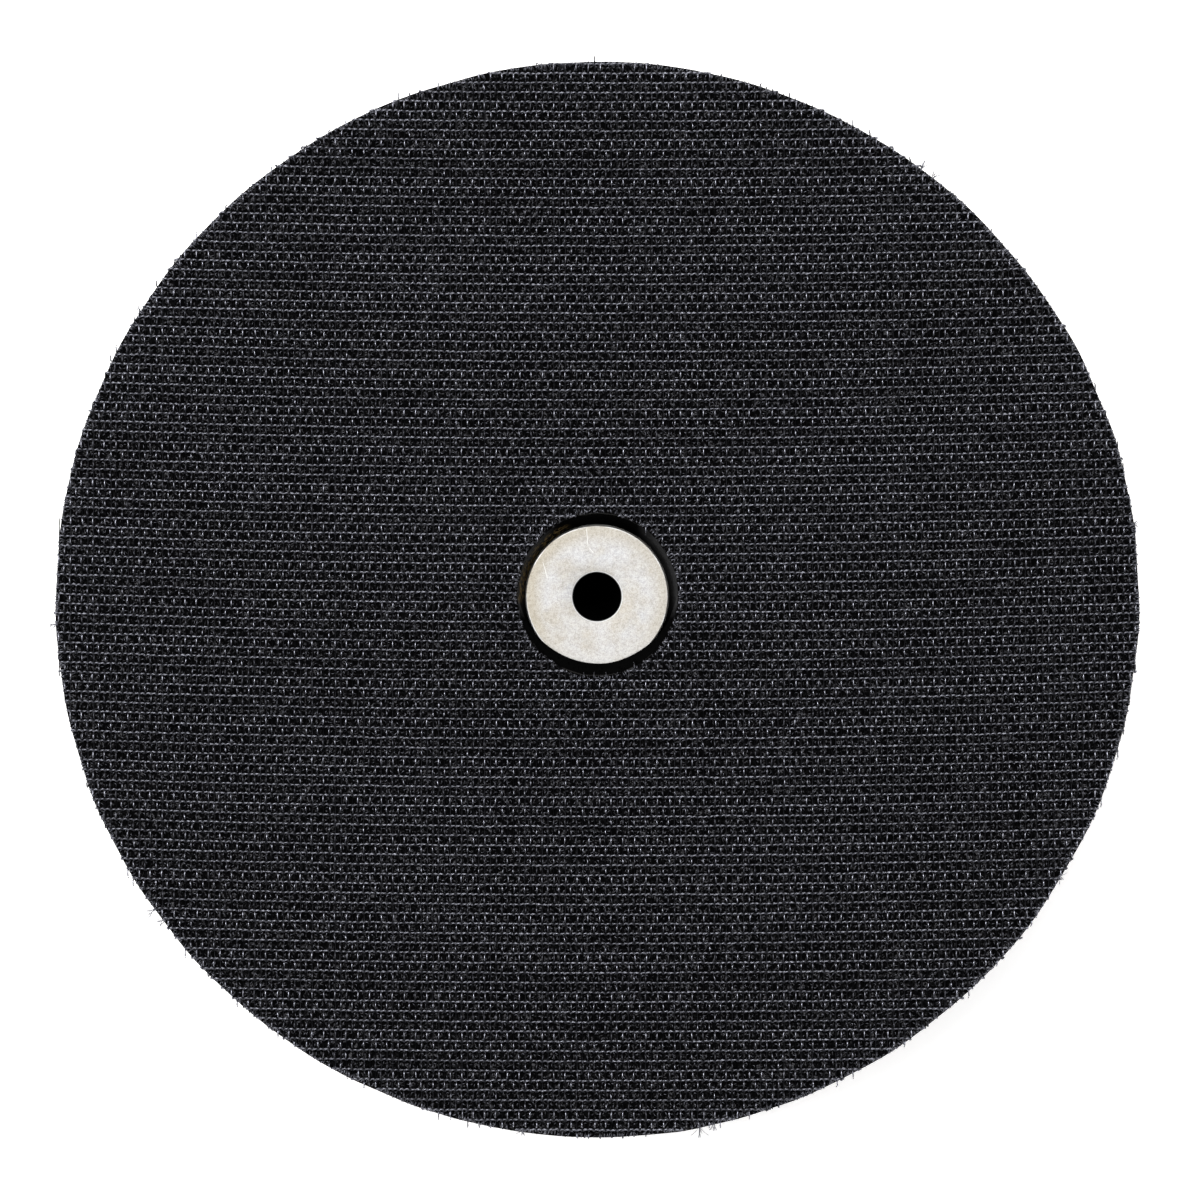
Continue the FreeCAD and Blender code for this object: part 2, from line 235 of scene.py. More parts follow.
class Shader:
    """A Principled material and short calls for the nodes that feed it. Lengths are in mm."""

    def __init__(self, name, colour, roughness, metallic=0.0, **sockets):
        self.material = bpy.data.materials.new(name)
        self.material.use_nodes = True
        self.tree = self.material.node_tree
        self.surface = self.tree.nodes["Principled BSDF"]
        self.surface.inputs["Base Color"].default_value = (*colour, 1)
        self.surface.inputs["Roughness"].default_value = roughness
        self.surface.inputs["Metallic"].default_value = metallic
        for socket, value in sockets.items():
            self.surface.inputs[socket.replace("_", " ")].default_value = value
        self.place = None

    def node(self, kind, inputs=(), **settings):
        node = self.tree.nodes.new(kind)
        for name, value in settings.items():
            setattr(node, name, value)
        for key, value in dict(inputs).items():
            if isinstance(value, bpy.types.NodeSocket):
                self.tree.links.new(value, node.inputs[key])
            else:
                node.inputs[key].default_value = value
        return node

    def position(self):
        """Object coordinates in mm."""
        if self.place is None:
            where = self.node("ShaderNodeTexCoord").outputs["Object"]
            scaled = self.node("ShaderNodeVectorMath", {0: where, 1: (1 / MM,) * 3}, operation="MULTIPLY")
            self.place = scaled.outputs[0]
        return self.place

    def stretched(self, x=1, y=1, z=1):
        inputs = {0: self.position(), 1: (x, y, z)}
        return self.node("ShaderNodeVectorMath", inputs, operation="MULTIPLY").outputs[0]

    def maths(self, operation, a, b=0.0, clamp=False):
        return self.node("ShaderNodeMath", {0: a, 1: b}, operation=operation, use_clamp=clamp).outputs[0]

    def noise(self, size, detail=2.0, vector=None, roughness=0.5):
        """Noise with features about size mm across."""
        inputs = {"Vector": vector or self.position(), "Scale": 1 / size, "Detail": detail,
                  "Roughness": roughness}
        return self.node("ShaderNodeTexNoise", inputs).outputs["Fac"]

    def cells(self, size, feature="F1", vector=None):
        inputs = {"Vector": vector or self.position(), "Scale": 1 / size}
        return self.node("ShaderNodeTexVoronoi", inputs, feature=feature).outputs["Distance"]

    def range(self, value, a, b, low=0.0, high=1.0):
        """value from a to b, mapped to low to high and held there outside."""
        inputs = {"Value": value, "From Min": a, "From Max": b, "To Min": low, "To Max": high}
        return self.node("ShaderNodeMapRange", inputs).outputs[0]

    def mix(self, share, first, second):
        """Colour between two colours or sockets."""
        node = self.node("ShaderNodeMix", data_type="RGBA")
        for key, value in (("Factor_Float", share), ("A_Color", first), ("B_Color", second)):
            socket = next(s for s in node.inputs if s.identifier == key)
            if isinstance(value, bpy.types.NodeSocket):
                self.tree.links.new(value, socket)
            else:
                socket.default_value = value if key == "Factor_Float" else (*value, 1)
        return next(s for s in node.outputs if s.identifier == "Result_Color")

    def feed(self, socket, value):
        self.tree.links.new(value, self.surface.inputs[socket])

    def bump(self, height, depth, strength=1.0):
        """Bump of depth mm between heights 0 and 1, on top of any bump there already."""
        inputs = {"Height": height, "Distance": depth * MM, "Strength": strength}
        normal = self.surface.inputs["Normal"]
        if normal.is_linked:
            inputs["Normal"] = normal.links[0].from_socket
        self.feed("Normal", self.node("ShaderNodeBump", inputs).outputs[0])

    def around(self):
        """Distance from the pad's axis, in mm."""
        flat = self.stretched(1, 1, 0)
        return self.node("ShaderNodeVectorMath", {0: flat}, operation="LENGTH").outputs["Value"]


NYLON_TINT = (0.86, 0.87, 1.0, 1)


def nylon(name, grey, roughness, ior, shine=1.0):
    """Black polyamide filament. Its whole surface is one tone, as spun; pieces mix several of these."""
    shader = Shader(name, (grey * 0.97, grey * 0.97, grey * 1.1), roughness, IOR=ior,
                    Specular_IOR_Level=shine, Specular_Tint=NYLON_TINT)
    return shader.material


def ground_cloth():
    """Coated ground under the yarns: matt black, crossed by fine curled filaments, thicker here and there."""
    shader = Shader("ground_cloth", (0.002, 0.002, 0.002), 0.7, Specular_IOR_Level=0.02)
    grain = shader.noise(0.35, 3)
    fold = shader.maths("ABSOLUTE", shader.maths("SUBTRACT", shader.noise(0.66, 1.5, roughness=0.6), 0.5))
    curl = shader.range(fold, 0.016, 0.040, 1, 0)
    filament = shader.maths("MULTIPLY", curl, shader.range(shader.noise(0.5, 2), 0.48, 0.60, 0.06, 1))
    # The filaments are painted light grey against the black ground: painted highlight for the glint of black
    # fibres.
    shader.feed("Base Color", shader.mix(filament, (0.0002, 0.0002, 0.0003), (0.052, 0.052, 0.056)))
    shader.feed("Roughness", shader.range(grain, 0.2, 0.8, 0.6, 0.8))
    x = shader.node("ShaderNodeTexWave", {"Vector": shader.position(), "Scale": 0.5 / WARP_PITCH},
                    bands_direction="X").outputs["Fac"]
    shader.bump(x, 0.06)
    shader.bump(grain, 0.05)
    return shader.material


FOAM_CUT = (0.032, 0.032, 0.033)
# Near black for the painted shade on the foam hole's wall.
FOAM_PAINTED_SHADE = (0.0008, 0.0008, 0.0008)
AMBER_GLUE = (0.20, 0.14, 0.06)


def foam_skin():
    """Dark moulded foam: a thin skin over fine cells, with pores and a few larger voids. In its hole it
    carries painted shade, near black, at both ends of the Y axis, and flecks of amber glue beside the hub at
    -X."""
    shader = Shader("foam_skin", (0.012, 0.012, 0.013), 0.85, Specular_IOR_Level=0.012)
    cloud = shader.noise(9, 4)
    pores = shader.cells(0.55)
    fine = shader.cells(0.28)
    pit = shader.range(pores, 0.10, 0.34)
    body = shader.mix(cloud, (0.009, 0.009, 0.0095), (0.020, 0.020, 0.021))
    # The pores are painted darker than the skin: painted shade in the pits.
    skin = shader.mix(pit, (0.002, 0.002, 0.002), body)
    place = shader.node("ShaderNodeSeparateXYZ", {0: shader.position()}).outputs
    in_hole = shader.range(shader.around(), FACE_HOLE + 0.4, FACE_HOLE + 0.8, 1, 0)
    # Where the hole's wall is painted near black as painted shade: its -Y side, and its middle along X.
    lower = shader.range(place["Y"], -3.0, 0.5, 1, 0)
    upper = shader.range(shader.maths("ABSOLUTE", place["X"]), 5.5, 8.0, 1, 0)
    painted_shade_mask = shader.maths("MULTIPLY", in_hole, shader.maths("MAXIMUM", lower, upper))
    cut_face = shader.mix(in_hole, skin, FOAM_CUT)
    skin_with_painted_shade = shader.mix(painted_shade_mask, cut_face, FOAM_PAINTED_SHADE)
    near_hub = shader.range(shader.around(), FACE_HOLE - 0.6, FACE_HOLE - 0.1, 1, 0)
    left = shader.maths("MULTIPLY", shader.range(place["X"], -3.5, -5.5), shader.range(place["Y"], -1, 0))
    fleck = shader.range(shader.noise(0.55, 3), 0.51, 0.55)
    glued = shader.maths("MULTIPLY", fleck, shader.maths("MULTIPLY", near_hub, left))
    shader.feed("Base Color", shader.mix(glued, skin_with_painted_shade, AMBER_GLUE))
    shader.feed("Roughness", shader.range(cloud, 0.3, 0.7, 0.62, 0.88))
    shader.bump(pit, 0.16)
    shader.bump(fine, 0.07)
    shader.bump(shader.noise(2.2, 3), 0.12)
    return shader.material


def bonding_film():
    shader = Shader("bonding_film", (0.006, 0.006, 0.005), 0.5, Specular_IOR_Level=0.1)
    cloud = shader.noise(1.5, 3)
    shader.feed("Base Color", shader.mix(cloud, (0.003, 0.003, 0.003), (0.009, 0.008, 0.006)))
    shader.feed("Roughness", shader.range(cloud, 0.3, 0.7, 0.4, 0.6))
    return shader.material


ROVING_WIDTH = 1.4


def glass_fibre():
    """Amber laminate: plain-woven glass roving under phenolic resin."""
    shader = Shader("glass_fibre", (0.26, 0.14, 0.05), 0.42, IOR=1.55)
    half_wave = TURN / 2 / ROVING_WIDTH
    place = shader.node("ShaderNodeSeparateXYZ", {0: shader.position()}).outputs
    across = shader.maths("SINE", shader.maths("MULTIPLY", place["X"], half_wave))
    along = shader.maths("SINE", shader.maths("MULTIPLY", place["Y"], half_wave))
    checker = shader.range(shader.maths("MULTIPLY", across, along), -0.25, 0.25)
    height = shader.maths("ADD", shader.maths("ABSOLUTE", across), shader.maths("ABSOLUTE", along))
    fibres_x = shader.noise(0.12, 2, shader.stretched(0.08, 1, 1))
    fibres_y = shader.noise(0.12, 2, shader.stretched(1, 0.08, 1))
    warp = shader.mix(fibres_x, (0.150, 0.070, 0.022), (0.330, 0.185, 0.070))
    weft = shader.mix(fibres_y, (0.120, 0.055, 0.018), (0.270, 0.145, 0.052))
    woven = shader.mix(checker, warp, weft)
    stain = shader.range(shader.noise(14, 4), 0.35, 0.75)
    shader.feed("Base Color", shader.mix(stain, woven, (0.105, 0.050, 0.018)))
    shader.feed("Roughness", shader.range(shader.noise(1.1, 3), 0.3, 0.7, 0.30, 0.58))
    shader.bump(height, 0.05)
    shader.bump(fibres_x, 0.015)
    return shader.material


def plated_steel(name, colour, warm, roughness):
    """Zinc-plated steel: a fine satin grain, clouded plating and faint handling scratches."""
    shader = Shader(name, colour, roughness, 1.0)
    cloud = shader.noise(4, 4)
    shader.feed("Base Color", shader.mix(shader.range(cloud, 0.35, 0.7), colour, warm))
    grain = shader.noise(0.12, 2)
    scratch = shader.noise(0.25, 3, shader.stretched(0.06, 1, 1), 0.7)
    rough = shader.maths("ADD", shader.range(cloud, 0.2, 0.8, -0.08, 0.10), roughness)
    shader.feed("Roughness", rough)
    shader.bump(grain, 0.012)
    shader.bump(shader.range(scratch, 0.62, 0.72), 0.012)
    return shader.material


HUB_GREY = (0.288, 0.287, 0.291)
HUB_PALE = (0.512, 0.510, 0.514)
HUB_TAN = (0.236, 0.209, 0.164)
HUB_CREAM = (0.400, 0.371, 0.315)
# Pale metal for real rubbing and scratches, and for painted highlights on the bore's chamfer and the nose's
# edge.
HUB_POLISH_AND_HIGHLIGHT = (0.66, 0.66, 0.65)
HUB_BORE_SHADE = (0.03, 0.03, 0.03)
# The radii between which the painted highlight on the chamfer round the nose's hole fades out.
BORE_EDGE = (3.55, 3.62)
# Scratches across the hub's nose, each a start and an end in mm.
NOSE_SCRATCHES = [
    ((-1.48, 9.7), (-1.25, 7.0)),
    ((-1.25, 7.0), (-0.35, 5.9)),
    ((-7.55, 4.9), (-6.85, 2.4)),
]
SCRATCH_WIDTH = 0.035


def hub_steel():
    """The hub: turned, blasted and plated, nearly white, with a warm cast in patches and fine scratches."""
    shader = Shader("hub_steel", HUB_PALE, 0.66, 0.35)
    grain = shader.noise(0.16, 2, roughness=0.8)
    speck = shader.noise(0.36, 3, roughness=0.6)
    fine = shader.maths("ADD", shader.maths("MULTIPLY", grain, 0.6), shader.maths("MULTIPLY", speck, 0.4))
    place = shader.node("ShaderNodeSeparateXYZ", {0: shader.position()}).outputs
    on_nose = shader.range(place["Z"], CLAMP_TOP, CLAMP_TOP + 0.1)
    cloud = shader.range(shader.noise(3.4, 4), 0.36, 0.66, 0, 0.75)
    # Painted shade: warmer and darker towards the nose's rim, most on its -X, +Y side, over the random warm
    # cast.
    towards_rim = shader.range(shader.maths("ADD", shader.around(), shader.noise(2.2, 3)), 7.2, 9.5)
    painted_shade_side = shader.maths("MULTIPLY", shader.range(place["X"], 5, -8, 0.75, 1.0),
                           shader.range(place["Y"], -9, -4, 0.35, 1.0))
    rim = shader.maths("MULTIPLY", shader.maths("MULTIPLY", towards_rim, painted_shade_side), on_nose)
    warmth = shader.maths("MAXIMUM", cloud, rim)
    grit = shader.range(fine, 0.36, 0.62)
    pale = shader.mix(grit, HUB_GREY, HUB_PALE)
    tan = shader.mix(grit, HUB_TAN, HUB_CREAM)
    colour = shader.mix(warmth, pale, tan)
    # Painted highlight on the chamfer round the hole.
    bright = shader.range(shader.around(), *BORE_EDGE, 1, 0)
    worn = shader.range(shader.noise(2.5, 3), 0.40, 0.60)
    # The nose's edge: rubbed plating and a painted highlight together, broken up by noise.
    edge = shader.range(shader.around(), NOSE_RADIUS - 0.16, NOSE_RADIUS - 0.10)
    worn_and_highlit_edge = shader.maths("MULTIPLY", worn, shader.maths("MULTIPLY", on_nose, edge))
    bright = shader.maths("MAXIMUM", bright, worn_and_highlit_edge)
    for start, end in NOSE_SCRATCHES:
        bright = shader.maths("MAXIMUM", bright, scratch_mask(shader, start, end))
    lit = shader.mix(bright, colour, HUB_POLISH_AND_HIGHLIGHT)
    # Painted shade down the thread, below the chamfer.
    within_thread = shader.range(shader.around(), THREAD_MAJOR + 0.05, THREAD_MAJOR + 0.15, 1, 0)
    below_chamfer = shader.range(place["Z"], NOSE_TOP - 0.18, NOSE_TOP - 0.13, 1, 0)
    in_bore = shader.maths("MULTIPLY", within_thread, below_chamfer)
    shader.feed("Base Color", shader.mix(in_bore, lit, HUB_BORE_SHADE))
    shader.feed("Roughness", shader.range(fine, 0.3, 0.7, 0.58, 0.74))
    shader.bump(fine, 0.02)
    rings = shader.node("ShaderNodeCombineXYZ", {"X": shader.around()}).outputs[0]
    shader.bump(shader.noise(0.10, 2, rings), 0.006)
    return shader.material


def scratch_mask(shader, start, end):
    """1 on a thin line between two places of the XY plane, 0 off it."""
    start, end = np.array(start), np.array(end)
    length = float(np.linalg.norm(end - start))
    along = (end - start) / length
    flat = shader.stretched(1, 1, 0)
    local = shader.node("ShaderNodeVectorMath", {0: flat, 1: (*start, 0)}, operation="SUBTRACT").outputs[0]
    s = shader.node("ShaderNodeVectorMath", {0: local, 1: (*along, 0)}, operation="DOT_PRODUCT")
    d = shader.node("ShaderNodeVectorMath", {0: local, 1: (-along[1], along[0], 0)},
                    operation="DOT_PRODUCT")
    beside = shader.maths("ABSOLUTE", d.outputs["Value"])
    middle = shader.maths("ABSOLUTE", shader.maths("SUBTRACT", s.outputs["Value"], length / 2))
    on_line = shader.range(beside, SCRATCH_WIDTH / 2, SCRATCH_WIDTH, 1, 0)
    within = shader.range(middle, length / 2 - 0.4, length / 2, 1, 0)
    return shader.maths("MULTIPLY", on_line, within)


FLOOR_WHITE = (0.9, 0.9, 0.9)
FLOOR_GLOW = 0.50
# The floor is painted black up to this radius under the hub, as painted shade seen through the thread.
PAINTED_SHADE_SPOT = 9.0


def light_table():
    """White floor that glows a little, like the opal sheet of a light table, but painted black as painted
    shade under the hub's seat, where it is seen only through the thread."""
    shader = Shader("light_table", FLOOR_WHITE, 0.9, Specular_IOR_Level=0.2,
                    Emission_Strength=FLOOR_GLOW)
    open_floor = shader.range(shader.around(), PAINTED_SHADE_SPOT, PAINTED_SHADE_SPOT + 0.5)
    shader.feed("Base Color", shader.mix(open_floor, (0, 0, 0), FLOOR_WHITE))
    shader.feed("Emission Color", shader.mix(open_floor, (0, 0, 0), (1, 1, 1)))
    return shader.material


# ---------------------------------------------------------------- woven hook fabric

ROW_PITCH = 1.348
ROW_PITCH_DRIFT = 0.019
ROW_BOW = 1.3
WARP_PITCH = 0.80
HOOK_PITCH = 2 * WARP_PITCH
GROUND_THICKNESS = 0.30
WEFT_LEVEL = FABRIC_BASE + 0.68
WEFT_PLY = 0.11
WARP_LEVEL = FABRIC_BASE + 0.42
WARP_RISE = 0.12
WARP_RADIUS = 0.075
HOOK_ROOT = FABRIC_BASE + 0.35
HOOK_HEIGHT = FACE - HOOK_ROOT
HOOK_RADIUS = 0.10
TRIANGLES_A_PIECE = 190_000


def rim_radius(theta):
    """The die-cut outline: a little proud of the pad, drawn slightly wide along the weft, and rippled."""
    ripple = waves(theta, seed=3, amplitude=0.07, lowest=3, highest=40)
    return PAD_RADIUS + 0.20 + 0.30 * np.cos(2 * theta) + ripple


def hole_radius(theta):
    """The punched opening, drawn slightly narrow along the weft."""
    ripple = waves(theta, seed=4, amplitude=0.05, lowest=3, highest=14)
    return FACE_HOLE - 0.10 * np.cos(2 * theta) + ripple


def on_fabric(x, y, margin=0.0):
    """True where the fabric has yarn: inside the outline and outside the hole, by margin mm."""
    rim_x, rim_y = x - DISC_CENTRE[0], y - DISC_CENTRE[1]
    hole_x, hole_y = x - HOLE_CENTRE[0], y - HOLE_CENTRE[1]
    inside = np.hypot(rim_x, rim_y) < rim_radius(np.arctan2(rim_y, rim_x)) - margin
    outside = np.hypot(hole_x, hole_y) > hole_radius(np.arctan2(hole_y, hole_x)) + margin
    return inside & outside


def row_levels():
    """The weft rows' places along Y, tighter towards +Y and wider towards -Y."""
    levels = [PAD_RADIUS + 0.45]
    while levels[-1] > -PAD_RADIUS - 1.0 - ROW_BOW:
        levels.append(levels[-1] - ROW_PITCH + ROW_PITCH_DRIFT * levels[-1] / PAD_RADIUS)
    return np.array(levels)


ROWS = row_levels()


def bow(x):
    """The rows curve towards +Y at the rim."""
    return ROW_BOW * (x / PAD_RADIUS) ** 2


def runs(mask):
    """Stretches of at least four True values in a row, as slices."""
    edges = np.flatnonzero(np.diff(np.concatenate([[0], mask.astype(np.int8), [0]])))
    return [slice(a, b) for a, b in zip(edges[::2], edges[1::2]) if b - a >= 4]


class Fabric:
    """Collects strands into pieces that stay under the triangles allowed for one piece."""

    def __init__(self, name, materials):
        self.name, self.materials = name, materials
        self.strands, self.pieces = Strands(), []

    def add(self, *tube, **section):
        self.strands.add(*tube, **section)
        if self.strands.triangles() > TRIANGLES_A_PIECE:
            self.close()

    def close(self):
        if self.strands.count:
            name = f"{self.name}_{len(self.pieces) + 1:02d}"
            self.pieces.append(self.strands.piece(name, self.materials))
            self.strands = Strands()


# How far a warp end pushes a raised pick down and sideways, and how far each ply lies from the pick's
# middle, sideways and up.
PICK_DIP = 0.27
PICK_SHIFT = 0.19
PLY_OFFSET = (0.06, 0.045)


def along_fabric(place):
    """A place along X or Y as an angle, so that the pad is a little under one turn across."""
    return TURN * place / (2.2 * PAD_RADIUS)


def bent_down(x, first):
    """How far a raised pick is bent down at x: 0 on a crown between two warp ends, and deeper at every
    second warp end than at the others."""
    along = np.mod(x / WARP_PITCH + 0.5, 1) - 0.5
    crossing = np.rint(x / WARP_PITCH - 0.5)
    depth = np.where(np.mod(crossing + first, 2) == 0, 1.0, 0.6)
    return depth * np.exp(-((0.5 - np.abs(along)) / 0.17) ** 2)


def weft_rows(materials):
    """Raised picks: two plies twisted together, so that each crown between two warp ends is one ply."""
    fabric = Fabric("weft_yarns", materials)
    draw = np.random.default_rng(11)
    periods = np.arange(-PAD_RADIUS - 1, PAD_RADIUS + 1, WARP_PITCH) // WARP_PITCH
    steps = np.array([-0.5, -0.38, -0.22, 0.0, 0.22, 0.38])
    x = ((periods[:, None] + steps) * WARP_PITCH).ravel()
    for k, y in enumerate(ROWS):
        dip = bent_down(x, k)
        wander = waves(along_fabric(x), draw.integers(1 << 30), amplitude=0.04, lowest=2, highest=40)
        middle = y + bow(x) + wander + draw.normal(0, 0.018, len(x)) - PICK_SHIFT * dip
        height = WEFT_LEVEL + draw.normal(0, 0.022, len(x)) - PICK_DIP * dip
        reach = draw.normal(0, 0.10)
        slip = waves(along_fabric(x), draw.integers(1 << 30), amplitude=0.5, lowest=2, highest=60)
        twist = math.pi / 2 - TURN * x / HOOK_PITCH + slip
        for run in runs(on_fabric(x, middle, reach)):
            for length in chunks(run, draw):
                shade = draw.integers(len(materials))
                for ply in (0, 0.5):
                    angle = twist[length] + TURN * ply
                    path = np.stack([x[length], middle[length] + PLY_OFFSET[0] * np.cos(angle),
                                     height[length] + PLY_OFFSET[1] * np.sin(angle)], axis=-1)
                    fabric.add(path[None], WEFT_PLY, 6, (0, 0, 1), shade, squash=0.7)
    fabric.close()
    return fabric.pieces


def chunks(run, draw):
    """A run cut into lengths that share their end points, for yarn whose shine changes along it."""
    start = run.start
    while start < run.stop - 1:
        end = min(run.stop, start + int(draw.integers(20, 110)))
        if run.stop - end < 6:
            end = run.stop
        yield slice(start, end)
        start = end - 1


def warp_ends(materials):
    """Warp ends. They cross over the raised picks in the dips between the crowns, and halfway to the next
    pick they come up or go down by turns."""
    fabric = Fabric("warp_yarns", materials)
    draw = np.random.default_rng(13)
    row = np.arange(0, len(ROWS) - 1, 1 / 4)
    y = np.interp(row, np.arange(len(ROWS)), ROWS)
    count = int(2 * PAD_RADIUS / WARP_PITCH) + 2
    for end in range(count):
        x = (end - count // 2 + 0.5) * WARP_PITCH
        sway = waves(along_fabric(y), draw.integers(1 << 30), amplitude=0.03, lowest=2, highest=20)
        halfway = (1 - np.cos(TURN * row)) / 2
        up_or_down = np.where((np.floor(row) + end) % 2 == 0, 1, -1)
        height = WARP_LEVEL + WARP_RISE * (np.cos(TURN * row) + 0.7 * halfway * up_or_down)
        place = y + bow(x)
        for run in runs(on_fabric(x + sway, place, draw.normal(0.05, 0.08))):
            path = np.stack([x + sway[run], place[run], height[run]], axis=-1)
            fabric.add(path[None], WARP_RADIUS, 4, (1, 0, 0), draw.integers(len(materials)))
    fabric.close()
    return fabric.pieces


def hook_profile():
    """Side view of one hook, root to cut tip: distance along the warp and height."""
    top = HOOK_HEIGHT - HOOK_RADIUS
    return np.array([
        (0.0, -0.1), (-0.02, 0.55 * top), (0.0, top - 0.30), (0.04, top - 0.11), (0.12, top - 0.01),
        (0.33, top), (0.54, top - 0.03), (0.66, top - 0.15), (0.70, top - 0.36), (0.66, top - 0.56),
    ])


def stub_profile():
    """The other leg of the same loop, left short where the loop was cut."""
    return np.array([(0.93, -0.1), (0.94, 0.22), (0.91, 0.45)])


# How the hooks of four rows in turn stand: which way they face along the warp, half a pitch along or not,
# their reach and height against the profile's, and their gap (mm) from the pick behind them. Then how far
# they are turned about their own leg (degrees) and how far their ends are bent sideways (mm), each with its
# spread, and their shares of the filaments' shades.
HOOK_ROWS = [
    dict(facing=-1, offset=0.0, reach=1.25, height=0.97, gap=0.20, turn=-1, turn_spread=3,
         bend=0.01, bend_spread=0.02, shades=(0.45, 0.40, 0.15)),
    dict(facing=-1, offset=0.5, reach=0.90, height=1.00, gap=0.30, turn=0, turn_spread=2,
         bend=0.0, bend_spread=0.02, shades=(0.75, 0.22, 0.03)),
    dict(facing=1, offset=0.0, reach=0.95, height=0.94, gap=0.24, turn=3, turn_spread=5,
         bend=-0.03, bend_spread=0.04, shades=(0.08, 0.30, 0.62)),
    dict(facing=1, offset=0.5, reach=0.82, height=0.90, gap=0.28, turn=0, turn_spread=4,
         bend=0.01, bend_spread=0.03, shades=(0.08, 0.30, 0.62)),
]
FIRST_HOOK_ROW = 3


def hook_rows(materials):
    """Standing hooks, with the stub of each loop's other leg."""
    hooks = Fabric("hooks", materials)
    draw = np.random.default_rng(14)
    profile, stub = hook_profile(), stub_profile()
    columns = int(2 * PAD_RADIUS / HOOK_PITCH) + 4
    for k in range(len(ROWS) - 1):
        kind = HOOK_ROWS[(k + FIRST_HOOK_ROW) % len(HOOK_ROWS)]
        x = (np.arange(columns) - columns // 2 + 0.25 + kind["offset"]) * HOOK_PITCH
        x = x + draw.normal(0, 0.035, columns)
        start = ROWS[k] - kind["gap"] if kind["facing"] < 0 else ROWS[k + 1] + kind["gap"]
        y = start + bow(x) + draw.normal(0, 0.03, columns)
        tip = y + kind["facing"] * kind["reach"] * profile[-1, 0]
        keep = on_fabric(x, y, 0.0) & on_fabric(x, tip, -0.45) & (draw.random(columns) > 0.006)
        x, y = x[keep], y[keep]
        if not len(x):
            continue
        count = len(x)
        turn = np.radians(draw.normal(kind["turn"], kind["turn_spread"], count))
        bend = draw.normal(kind["bend"], kind["bend_spread"], count)
        lean = draw.normal(0, 0.025, count)
        height = kind["height"] * (1 - np.abs(draw.normal(0, 0.02, count)))
        shade = draw.choice(len(materials), count, p=kind["shades"])
        dull = len(materials) - 1
        for shape, sides, slot in ((profile, 6, shade), (stub, 4, dull)):
            forward = kind["facing"] * kind["reach"] * shape[:, 0][None]
            up = shape[:, 1][None] * height[:, None]
            sideways = bend[:, None] * (3 * shape[:, 0][None] - 1) ** 2 * (shape[:, 1] > 0.5)
            sideways = sideways + lean[:, None] * up
            side_x, side_y = np.cos(turn)[:, None], np.sin(turn)[:, None]
            paths = np.stack([
                x[:, None] - side_y * forward + side_x * sideways,
                y[:, None] + side_x * forward + side_y * sideways,
                HOOK_ROOT + up,
            ], axis=-1)
            normal = np.stack([np.cos(turn), np.sin(turn), 0 * turn], axis=-1)
            hooks.add(paths, HOOK_RADIUS, sides, normal, slot)
    hooks.close()
    return hooks.pieces


LOOP_LEVEL = FABRIC_BASE + 0.36
LOOP_RADIUS = 0.055
LOOP_SHARE = 0.75


def ground_loops(materials):
    """Short curls of the ground's textured yarn, which bulge up between the raised picks."""
    fabric = Fabric("ground_loops", materials)
    draw = np.random.default_rng(16)
    columns = int(2 * PAD_RADIUS / WARP_PITCH) + 4
    t = np.linspace(-1, 1, 4)[None]
    for k in range(len(ROWS) - 1):
        x = (np.arange(columns) - columns // 2) * WARP_PITCH + draw.normal(0, 0.14, columns)
        y = (ROWS[k] + ROWS[k + 1]) / 2 + bow(x) + draw.normal(0, 0.17, columns)
        keep = on_fabric(x, y, 0.45) & (draw.random(columns) < LOOP_SHARE)
        x, y = x[keep, None], y[keep, None]
        if not len(x):
            continue
        heading = draw.uniform(0, TURN, x.shape)
        along = draw.uniform(0.18, 0.32, x.shape) * t
        across = draw.normal(0, 0.16, x.shape) * (1 - t ** 2)
        height = LOOP_LEVEL + draw.uniform(0.10, 0.34, x.shape) * (1 - t ** 2)
        paths = np.stack([
            x + along * np.cos(heading) - across * np.sin(heading),
            y + along * np.sin(heading) + across * np.cos(heading),
            height,
        ], axis=-1)
        fabric.add(paths, LOOP_RADIUS, 4, (0, 0, 1), draw.integers(len(materials), size=len(x)))
    fabric.close()
    return fabric.pieces


# Places round the rim, in degrees from +X, where cut yarn has come loose, and how long it stands out.
FRAYS = [(53, 1.3), (51.5, 0.9), (147.8, 0.7), (182.6, 0.9), (215, 1.5), (216.5, 0.9), (-79, 1.4),
         (-77.5, 0.8), (8, 0.5), (96, 0.4), (262, 0.5), (-31, 0.4)]
FILAMENTS_A_FRAY = 7
FRAY_RADIUS = 0.035


def frayed_ends(materials):
    """Loose filaments of cut yarn at the rim."""
    strands = Strands()
    draw = np.random.default_rng(15)
    for degrees, length in FRAYS:
        theta = math.radians(degrees)
        outward = np.array([math.cos(theta), math.sin(theta), 0.0])
        sideways = np.array([-outward[1], outward[0], 0.0])
        root = outward * (rim_radius(np.array([theta]))[0] - 0.5)
        root[:2] += DISC_CENTRE
        for _ in range(FILAMENTS_A_FRAY):
            reach = 0.5 + length * draw.uniform(0.5, 1.0)
            curl, rise = draw.normal(0, 0.45), draw.uniform(-0.2, 0.5)
            t = np.linspace(0, 1, 7)[:, None]
            height = draw.uniform(0.3, 0.9)
            path = (root + outward * t * reach + sideways * (draw.normal(0, 0.1) + curl * t ** 2)
                    + np.array([0, 0, FABRIC_BASE + height]) + np.array([0, 0, 1]) * rise * t ** 2)
            strands.add(path[None], FRAY_RADIUS, 4, (0, 0, 1), 0)
    return strands.piece("frayed_ends", materials)


CUT_ENDS_AT_RIM = 1700
CUT_ENDS_AT_HOLE = 240


